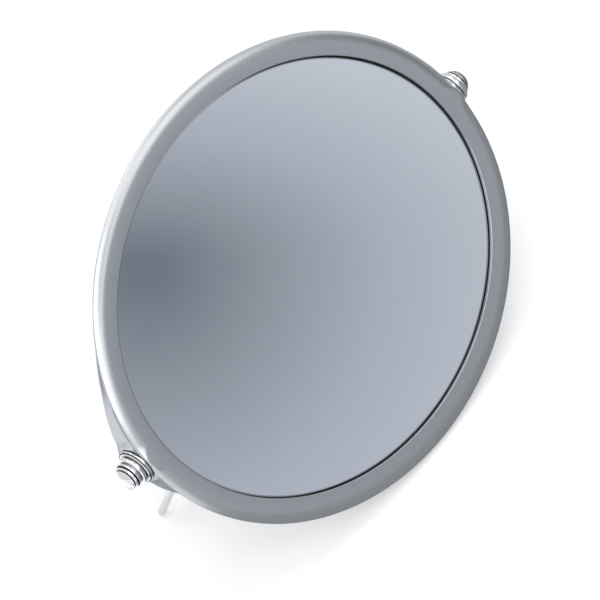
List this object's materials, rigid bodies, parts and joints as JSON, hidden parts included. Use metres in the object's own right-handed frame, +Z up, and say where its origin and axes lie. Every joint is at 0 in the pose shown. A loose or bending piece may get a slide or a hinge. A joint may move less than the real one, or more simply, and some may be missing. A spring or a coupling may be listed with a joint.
{
  "type": "portable mirror",
  "caption": "Oval portable mirror in a satin silver two-shell frame, with turned chrome pivot knobs on its long axis and a folding chrome wire stand behind it.",
  "frame": {"origin": "on the table, in the middle of the flat foot of the rubber pad that the head stands on", "axes": "+X along the pivot line to the viewer's right when facing the glass, -Y the way the glass faces, +Z up"},
  "size_m": [0.2328, 0.0935, 0.164],
  "materials": {
    "frame_plastic": "satin silver paint",
    "silvered_glass": "polished silvered glass",
    "black_foam": "matt foam tape",
    "backing_board": "matt sheet",
    "chrome_plate": "polished chrome",
    "plain_steel": "bright zinc",
    "white_nylon": "smooth nylon",
    "grey_rubber": "matt rubber"
  },
  "bodies": {
    "head": {"bezel_front": "frame_plastic", "shell_rear": "frame_plastic", "mirror_glass": "silvered_glass", "glass_tape": "black_foam", "glass_backing": "backing_board", "shell_screws": "plain_steel", "stud_right": "plain_steel", "stud_left": "plain_steel", "flange_right": "chrome_plate", "flange_left": "chrome_plate", "friction_washers": "white_nylon", "rim_pad": "grey_rubber", "back_bumpers": "grey_rubber"},
    "stand": {"leg_right": "chrome_plate", "leg_left": "chrome_plate", "cross_bar": "chrome_plate", "spring_washers": "plain_steel"},
    "knob_r": {"knob_right": "chrome_plate"},
    "knob_l": {"knob_left": "chrome_plate"}
  },
  "joints": [
    {"name": "stand_fold", "type": "hinge", "parent": "head", "child": "stand", "pos_m": [0, 0.03544, 0.07951], "axis": [1, 0, 0], "range_deg": [-28, 96]},
    {"name": "knob_right_turn", "type": "hinge", "parent": "head", "child": "knob_r", "pos_m": [0.1136, 0.03544, 0.07951], "axis": [1, 0, 0], "range_deg": [0, 90]},
    {"name": "knob_left_turn", "type": "hinge", "parent": "head", "child": "knob_l", "pos_m": [-0.1136, 0.03544, 0.07951], "axis": [-1, 0, 0], "range_deg": [0, 90]}
  ]
}
